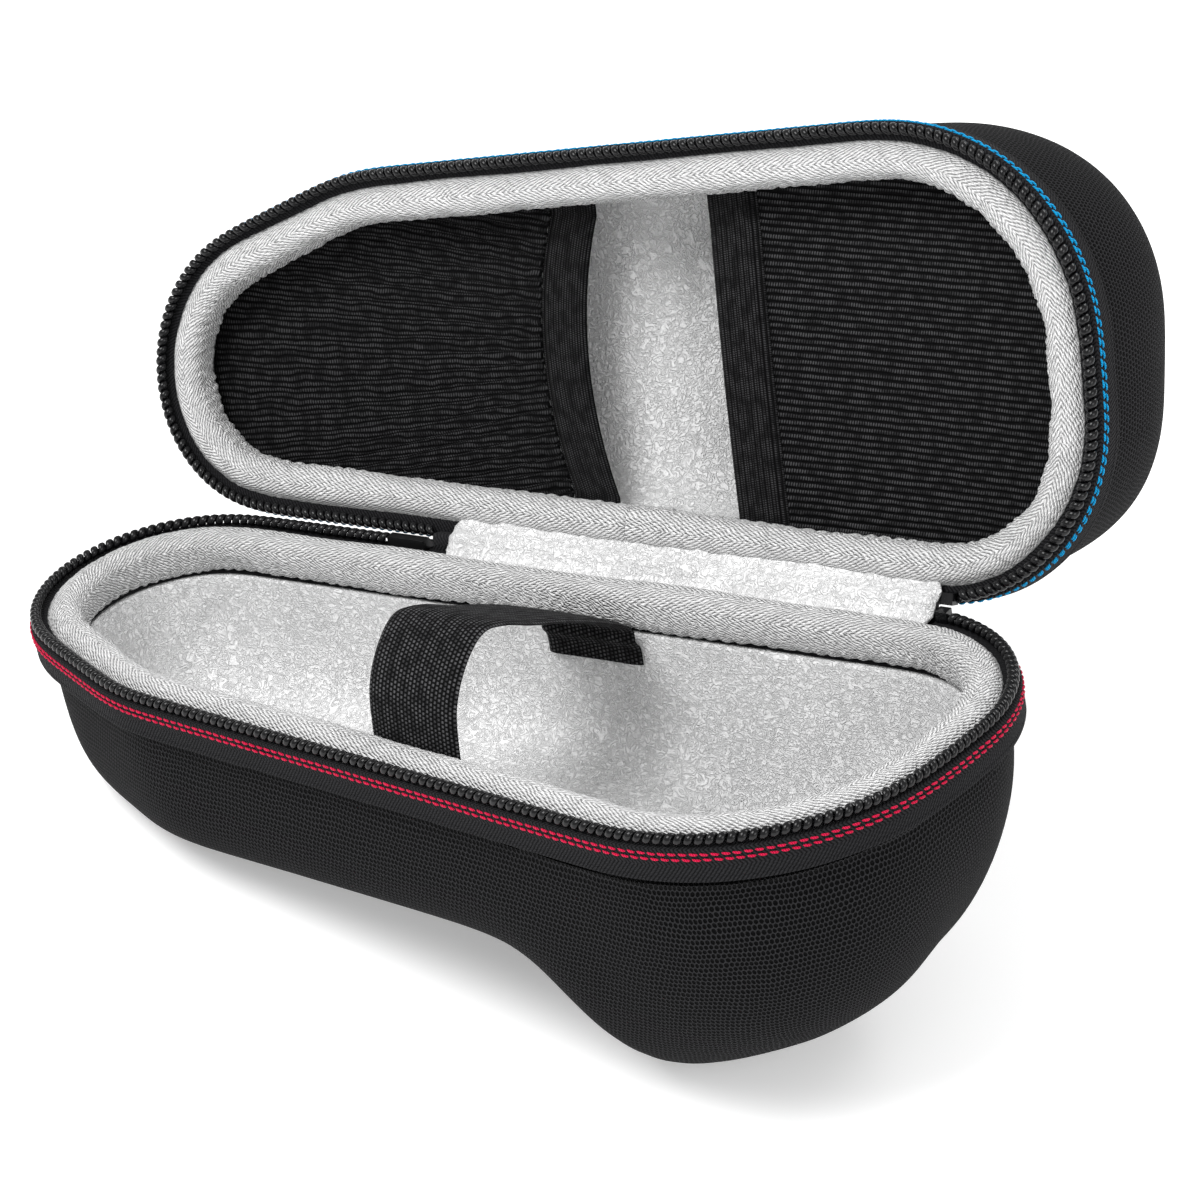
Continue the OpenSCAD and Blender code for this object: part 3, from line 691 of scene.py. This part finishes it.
def stitches(side_, body, color, start_x):
    s0, s1 = s_back(start_x), s_back(81.2) + LOOP
    n = int((s1 - s0) / PITCH)
    verts, faces, uvs = [], [], []
    rings, sides_ = 7, 8
    a = np.linspace(-1, 1, rings)
    prof = np.sqrt(np.maximum(0.06, 1 - np.abs(a) ** 3.5))
    psi = np.linspace(0, 2 * math.pi, sides_ + 1)[:-1]
    base_f, k = grid_faces(rings, sides_, False, True)
    rng = np.random.default_rng(5)
    for row, depth in enumerate((3.75, 4.85)):
        for i in range(n):
            s = s0 + (i + 0.5 + 0.25 * row) * PITCH + rng.uniform(-0.05, 0.05)
            q = s + a * 0.8
            r = rim(q)
            dz = depth + a * (0.1 + rng.uniform(-0.03, 0.05)) + rng.uniform(-0.03, 0.03)
            lift = 0.16 * (1 - a ** 2) - 0.02
            for j in range(rings):
                nx, ny = r[j, 2], r[j, 3]
                w = 0.27 * prof[j]
                o = 0.5 + lift[j]
                for p in psi:
                    d = o + w * 0.75 * math.cos(p)
                    verts.append((r[j, 0] + d * nx, r[j, 1] + d * ny, -dz[j] + w * math.sin(p)))
            b = len(verts) - rings * sides_
            faces += [tuple(f + b) for f in base_f]
            uvs += [np.stack([k[..., 0] * 0.25 + i, k[..., 1] * 0.2], -1).reshape(-1, 2)]
            for j in (0, rings - 1):
                faces.append(tuple(b + j * sides_ + np.arange(sides_)))
                uvs.append(np.zeros((sides_, 2)))
    o = mesh_object(side_ + "_stitches", to_row(np.array(verts), side_), faces, np.vstack(uvs))
    take_place(o, color, side_ + "_stitching", body)


def binding(side_, body):
    n = 1080
    ss = np.linspace(0, LOOP, n + 1)[:-1]
    psi = np.linspace(0, 2 * math.pi, 37)[:-1]
    vv = psi / (2 * math.pi)
    # psi 0 is the inner face, a quarter turn the top, half a turn the outer side
    ex = 2 / 2.5
    cx = 6.85 + 3.85 * np.sign(np.cos(psi)) * np.abs(np.cos(psi)) ** ex
    cz = 5.2 - 4.65 * np.sign(np.sin(psi)) * np.abs(np.sin(psi)) ** ex
    prof = np.stack([cx, cz], -1)
    length = run_length(prof)
    seed = 21 if side_ == "base" else 31
    big = waves(seed, ss, vv, 5, (28, 90), (-0.3, 0.3), 0.16)
    diag = waves(seed + 1, ss, vv, 9, (4.2, 8.5), (1.6, 3.4), 1.0)
    diag2 = waves(seed + 2, ss, vv, 9, (3.2, 6.0), (-3.2, -1.4), 1.0)
    inner = np.clip(np.cos(psi), 0, 1)[None]
    low = np.clip(np.cos(psi + 0.75), 0, 1)[None] ** 1.5
    # Folds are strongest where the band turns round the ends and behind the strap
    ends = 0.45 + 0.55 * np.clip((np.abs(rim(ss)[:, 0] + 2) - 55) / 30, 0, 1)[:, None]
    if side_ == "base":
        behind = np.exp(-((ss - s_back(-10)) / 34) ** 2)[:, None]
        ends = np.maximum(ends, behind)
    ridge = np.abs(diag) ** 0.7 * 0.26 + np.abs(diag2) ** 0.8 * 0.16
    scallop = np.abs(np.sin(math.pi * ss / 3.3 + 0.6 * np.sin(ss / 9)))[:, None]
    d = (big - 0.8 * ends * (1 - np.clip(ridge / 0.4, 0, 1)) * (0.35 + inner * 0.9)
         - 0.38 * low * (1 - scallop))
    if side_ == "lid":
        # The band's two ends overlap on the back, a little left of the middle
        sj = s_back(9)
        over = np.where((ss < sj) & (ss > sj - 16), 0.32 * (1 - (sj - ss) / 16), 0)
        notch = -0.9 * np.exp(-((ss - sj - 0.35) / 0.35) ** 2)
        d += (over + notch)[:, None] * np.clip(0.4 + np.cos(psi - 0.8), 0, 1)[None]
    nrm = np.stack([np.sign(np.cos(psi)) * np.abs(np.cos(psi)) / 3.8, -np.sin(psi) / 4.6], -1)
    nrm /= np.linalg.norm(nrm, axis=1, keepdims=True)
    pr = prof[None] + d[..., None] * nrm[None]
    pr[..., 1] = np.maximum(pr[..., 1], 0.45)
    # The roll lies on the zip tape up to the coil, and fills the space behind the tape's edge
    pr[..., 0] = np.maximum(pr[..., 0], 2.8)
    pr[..., 1] = np.where(pr[..., 0] < 5, np.minimum(pr[..., 1], 2.7), pr[..., 1])
    pts = sweep_pts(ss, pr)
    o = grid(side_ + "_rim_roll", pts, np.r_[ss, LOOP], length, side_, cu=True, cv=True)
    take_place(o, "binding", side_ + "_binding", body)


tape("base", "base")
tape("lid", "lid")
coil("base", "base", -47)
coil("lid", "lid", -37)
stitches("base", "base", "red", -47)
stitches("lid", "lid", "blue", -33)
binding("base", "base")
binding("lid", "lid")


# Fabric hinge
def opened(p):
    c, s = math.cos(OPEN), math.sin(OPEN)
    return (p[0] * c + p[1] * s, -p[0] * s + p[1] * c)


def smooth_path(pts, n):
    pts = np.array(pts, float)
    p = np.vstack([2 * pts[0] - pts[1], pts, 2 * pts[-1] - pts[-2]])
    out = []
    for i in range(1, len(p) - 2):
        for t in np.linspace(0, 1, n + 1)[:-1]:
            a, b, c, d = p[i - 1], p[i], p[i + 1], p[i + 2]
            out.append(0.5 * (2 * b + (c - a) * t + (2 * a - 5 * b + 4 * c - d) * t * t
                              + (3 * b - a - 3 * c + d) * t ** 3))
    out.append(p[-2])
    return np.array(out)


def hinge_strip(name, path, x0, x1, thick, mat, node, start, end, bumps=0.0, seed=0):
    path = smooth_path(path, 5)
    xs = np.linspace(x0, x1, 90)
    d = np.gradient(path, axis=0)
    nrm = np.stack([-d[:, 1], d[:, 0]], -1)
    nrm /= np.linalg.norm(nrm, axis=1, keepdims=True)
    rng = np.random.default_rng(seed)
    h = np.zeros((len(xs), len(path)))
    for _ in range(10):
        a, b, c = rng.uniform(0.05, 0.5), rng.uniform(-3, 3), rng.uniform(0, 6.3)
        h += np.cos(a * xs[:, None] * 2 + b * np.linspace(0, 1, len(path))[None] + c) / 3.2
    h *= bumps
    faces_ = []
    # The strip's ends are rounded off towards the fold
    tip = np.clip(np.minimum(xs - x0, x1 - xs) / 3, 0, 1)
    size = (0.5 + 0.5 * np.sqrt(1 - (1 - tip) ** 2))[:, None, None] if bumps else 1.0
    for k in (-0.5, 0.5):
        q = path[None] + nrm[None] * (k * thick + (h[..., None] if k > 0 else 0))
        q = np.broadcast_to(q * size, (len(xs), len(path), 2))
        faces_.append(np.concatenate([np.repeat(xs[:, None, None], len(path), 1), q], -1))
    pts = np.concatenate([faces_[0], faces_[1][:, ::-1]], 1)
    dd = np.r_[0, np.cumsum(np.hypot(*np.diff(path, axis=0).T))]
    v = np.r_[dd, dd[::-1], 0]
    o = grid(name, pts, np.r_[xs, xs[-1] + 1], v, "base", cv=True, caps=True)
    give(o, mat)
    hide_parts(node)
    mx = (x0 + x1) / 2
    tuple(to_row((mx, *start)))
    tuple(to_row((mx, *end)))
    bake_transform(o)


# Sections run from the base over the fold to the open lid
hinge_strip("hinge_back_cloth", [(-0.4, -9.5), (-0.4, -6), (-0.4, -2.5), (-0.25, -0.9), (0.15, 0.05),
            opened((-0.25, 0.9)), opened((-0.4, 2.5)), opened((-0.4, 6)), opened((-0.4, 9.5))],
            -36, 80, 0.7, "hinge", "hinge_outer_fabric",
            (-0.3, -1.2), opened((-0.3, 1.2)))
hinge_strip("hinge_plush_strip", [(-4.6, -2.9), (-3.4, -2.2), (-2.4, -1.5), (-1.6, -0.4), (-0.74, 1.13),
            opened((-1.6, 0.4)), opened((-2.4, 1.5)), opened((-3.4, 2.2)), opened((-4.6, 2.9))],
            -31.8, 79.8, 0.9, "plush", "hinge_inner_lining",
            (-1.7, -0.2), opened((-1.7, 0.2)), bumps=0.3, seed=4)


# Lid pockets
# Free edge of each band at the front and back, its bow, and the band's width away from that edge
NARROW_BAND = (-9.4, 0, -5, -10.6)
WIDE_BAND = (18.4, 29, -0.6, 10.8)
BAND_FRONT = -66
BAND_RUN = 55
POCKET_INSET = 7.4


def band_x(front, back_, bow, y):
    v = (y - BAND_FRONT) / BAND_RUN
    w = np.clip(v, 0, 1)
    return front + (back_ - front) * v + bow * 4 * w * (1 - w)


def ring_at(inset):
    ss = np.linspace(0, LOOP, 1400)
    r = rim(ss)
    return ss, r[:, :2] - inset * r[:, 2:]


def pocket(name, node, mat, wide):
    front, back_, bow, shift = WIDE_BAND if wide else NARROW_BAND
    ss, ring = ring_at(POCKET_INSET)
    edge = band_x(front, back_, bow, ring[:, 1]) + shift
    keep = ring[:, 0] > edge if wide else ring[:, 0] < edge
    # Stations round the closed end from one side of the band to the other
    if wide:
        ss2 = np.where(ss < LOOP / 2, ss + LOOP, ss)
    else:
        ss2 = ss
    order = np.argsort(ss2)
    sk = ss2[order][keep[order]]
    s0, s1 = sk.min(), sk.max()
    nt, nq = 150, 64
    t = np.linspace(0, 1, nt)
    r = rim(s0 + (s1 - s0) * t)
    outer = r[:, :2] - POCKET_INSET * r[:, 2:]
    y0, y1 = outer[0, 1], outer[-1, 1]
    ye = y0 + (y1 - y0) * t
    inner = np.stack([band_x(front, back_, bow, ye) + shift, ye], -1)
    q = np.linspace(0, 1, nq)
    p = inner[:, None] * (1 - q[None, :, None]) + outer[:, None] * q[None, :, None]
    # Sag between the binding and the band, ribs and pulled folds
    tt, qq = t[:, None], q[None]
    sag = 1.9 * np.sin(math.pi * tt) ** 0.7 * np.sin(math.pi * (0.12 + 0.88 * qq)) ** 0.8
    if wide:
        sag = 2.4 * np.sin(math.pi * tt) ** 0.7 * np.sin(math.pi * (0.1 + 0.9 * qq)) ** 0.7
        folds = 0.07 * np.sin(2 * math.pi * p[..., 1] / 1.32)
    else:
        folds = (0.3 * np.sin(2 * math.pi * (ye[:, None] / 2.3) + 0.8 * np.sin(qq * 5))
                 + 0.25 * np.sin(2 * math.pi * ye[:, None] / 8.5 + qq * 3))
        folds *= (0.35 + 0.65 * np.exp(-qq * 2.2))
    z = -(11.75 + sag + folds * np.minimum(1, (1 - qq) * 8))
    z = np.broadcast_to(z, p.shape[:2])
    pts = np.concatenate([p, z[..., None]], -1)
    dist_q = np.linalg.norm(np.diff(p, axis=1), axis=-1)
    uu = np.concatenate([np.zeros((nt, 1)), np.cumsum(dist_q, 1)], 1)
    # The wide panel's rows run straight; the narrow one's are drawn together at the closed end
    vv = p[..., 1] if wide else np.repeat(ye[:, None], nq, 1) * 0.7 + p[..., 1] * 0.3
    if wide:
        uu = p[..., 0]
    o = grid(name, pts, uu, vv, "lid")
    solidify(o, 0.9)
    take_place(o, mat, node, "lid")
    return o


def pocket_band(name, node, wide):
    front, back_, bow, w = WIDE_BAND if wide else NARROW_BAND
    nt, nq = 110, 26
    # From rim to rim along the band; the ends run under the rim roll
    y0 = -73.6 if wide else -69.4
    y1 = -7.6
    ye = np.linspace(y0, y1, nt)
    q = np.linspace(0, 1, nq)
    x = band_x(front, back_, bow, ye)[:, None] + w * q[None]
    prof = 0.55 * (1 - np.abs(2 * q - 1) ** 6)
    prof = prof - 0.5 * np.exp(-((q - 0.93) / 0.022) ** 2)
    ribs = 0.05 * np.sin(2 * math.pi * q * abs(w) / 0.62)
    arch = 0.55 * np.sin(math.pi * (ye - y0) / (y1 - y0))
    z = -(11.95 + arch[:, None] * 0.9 - prof[None] - ribs[None])
    pts = np.stack([x, np.repeat(ye[:, None], nq, 1), z], -1)
    o = grid(name, pts, np.repeat(ye[:, None], nq, 1), np.repeat(q[None] * abs(w), nt, 0), "lid")
    solidify(o, 1.1)
    take_place(o, "band", node, "lid")


o = pocket("narrow_pocket", "narrow_pocket_panel", "gathered", False)
o = pocket("wide_pocket", "wide_pocket_panel", "ribbed", True)
pocket_band("narrow_pocket_trim", "narrow_pocket_band", False)
pocket_band("wide_pocket_trim", "wide_pocket_band", True)


# Elastic strap
def strap():
    x0, x1, th = -4.5, 17.5, 1.15
    rise = 16
    # Share of the way from front to back, and height above the parting plane
    path = [(0, -16.5), (0, -12.8), (0.02, -10.7), (0.02, -5), (0.022, -1), (0.05, 0.42 * rise),
            (0.13, 0.8 * rise), (0.24, rise), (0.36, 0.87 * rise), (0.5, 0.58 * rise),
            (0.7, 0.2 * rise), (0.87, -3),
            (0.972, -7.5), (0.98, -10.7), (1, -12.8), (1, -16.5)]
    c = smooth_path(path, 6)
    xs = np.linspace(x0, x1, 37)
    slope = -0.1453
    q = (xs - x0) / (x1 - x0)
    wall = 9.5
    y0 = -71.62 + slope * (xs + 59.19) + (wall + 0.8) * math.sqrt(1 + slope ** 2)
    y1 = -wall - 0.8
    y = y0[:, None] + (y1 - y0[:, None]) * c[None, :, 0]
    z = np.repeat(c[None, :, 1], len(xs), 0)
    d = np.stack([np.gradient(y, axis=1), np.gradient(z, axis=1)], -1)
    nrm = np.stack([-d[..., 1], d[..., 0]], -1)
    nrm /= np.linalg.norm(nrm, axis=-1, keepdims=True)
    edge = 0.5 * (1 - np.abs(2 * q - 1) ** 10)
    rib = 0.04 * np.sin(2 * math.pi * q * 22 / 0.92)
    crown = 0.35 * np.sin(math.pi * q)
    layers = []
    for k in (-1, 1):
        off = k * (edge * th + 0.02) + (rib * k) + crown * 0.6
        layers.append(np.stack([np.repeat(xs[:, None], y.shape[1], 1), y + nrm[..., 0] * off[:, None],
                                z + nrm[..., 1] * off[:, None]], -1))
    pts = np.concatenate([layers[0], layers[1][::-1]], 0)
    dd = np.r_[0, np.cumsum(np.hypot(*np.diff(np.stack([c[:, 0] * 60, c[:, 1]], -1), axis=0).T))]
    w = np.r_[xs - x0, (xs - x0)[::-1], 0]
    uu = np.repeat(dd[None], len(w), 0)
    vv = np.repeat(w[:, None], len(dd), 1)
    o = grid("strap_web", pts, uu, vv, "base", cu=True)
    bm = bmesh.new()
    bm.from_mesh(o.data)
    bmesh.ops.holes_fill(bm, edges=bm.edges, sides=0)
    bmesh.ops.recalc_face_normals(bm, faces=bm.faces)
    bm.to_mesh(o.data)
    bm.free()
    take_place(o, "strap", "elastic_strap", "base")


strap()

# CAD nodes that keep their shape
for node in ("base_zip_stop", "lid_zip_stop"):
    give(bpy.data.objects[node], "coil")
for node in ("zip_slider", "zip_pull"):
    give(bpy.data.objects[node], "metal")

# Floor, world and lights
bpy.ops.mesh.primitive_grid_add(size=8, x_subdivisions=4, y_subdivisions=4, location=(0, 0, 0))
floor = bpy.context.active_object
floor.name = "floor"
floor.location = (0, 0, -0.0002)
g = Graph("floor_white")
n = g.noise(g.obj(), 3.0, 2.0)
g.finish(g.mix(n, (0.93, 0.93, 0.93), (0.95, 0.95, 0.95)), 0.9)
g.bsdf.inputs["Emission Color"].default_value = (1, 1, 1, 1)
g.bsdf.inputs["Emission Strength"].default_value = 0.3
floor.data.materials.append(g.mat)

world = bpy.data.worlds.new("studio")
bpy.context.scene.world = world
world.use_nodes = True
bg = world.node_tree.nodes["Background"]
bg.inputs["Color"].default_value = (1, 1, 1, 1)
bg.inputs["Strength"].default_value = 0.62


def area(name, loc, target, size, power):
    d = bpy.data.lights.new(name, "AREA")
    d.shape = "RECTANGLE"
    d.size, d.size_y = size
    d.energy = power
    ob = bpy.data.objects.new(name, d)
    bpy.context.scene.collection.objects.link(ob)
    ob.location = loc
    ob.rotation_euler = (Vector(target) - Vector(loc)).to_track_quat("-Z", "Y").to_euler()


area("key", (-0.5, -0.7, 1.3), (-0.03, 0.0, 0.06), (0.9, 0.7), 17)
area("fill", (1.1, -0.6, 0.8), (-0.03, 0.0, 0.06), (0.8, 0.8), 6)
area("rear", (0.2, 1.1, 1.2), (-0.03, 0.0, 0.06), (1.0, 0.6), 9)
bpy.context.scene.view_settings.view_transform = "Standard"
